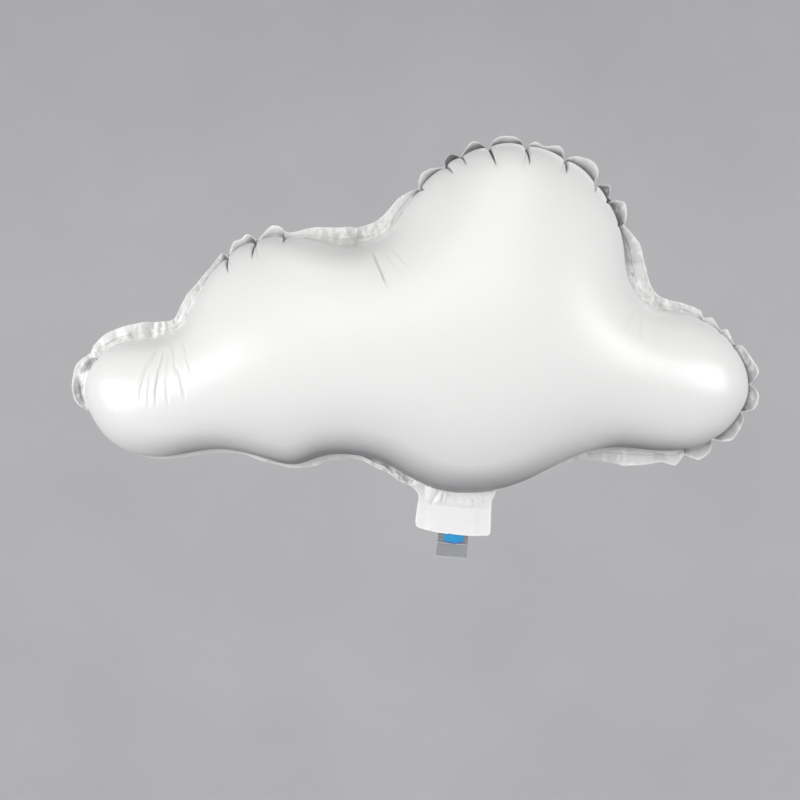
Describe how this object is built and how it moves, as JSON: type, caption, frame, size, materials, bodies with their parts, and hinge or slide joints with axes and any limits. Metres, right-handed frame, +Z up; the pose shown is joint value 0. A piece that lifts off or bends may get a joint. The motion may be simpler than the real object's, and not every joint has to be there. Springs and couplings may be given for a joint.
{
  "type": "cloud foil balloon",
  "caption": "Inflated foil balloon in a cloud shape: two white foil sheets sealed along a crimped margin, with a neck tab and a flat clear filling valve.",
  "frame": {"origin": "middle of the gas space on the plane of the seal, where the floating balloon is held by the air; upright, with the neck tab at the bottom", "axes": "+X along the cloud's length, to the right for someone facing the front sheet; +Y from the front sheet to the back sheet; +Z up to the cloud's crown"},
  "size_m": [0.4134, 0.1318, 0.2539],
  "materials": {
    "white_foil": "satin white film over foil",
    "clear_film": "clear",
    "blue_print": "printed ink"
  },
  "bodies": {
    "root": {"front_foil_sheet": "white_foil", "back_foil_sheet": "white_foil", "valve_film_front": "clear_film", "valve_film_back": "clear_film", "valve_print": "blue_print"}
  },
  "joints": []
}
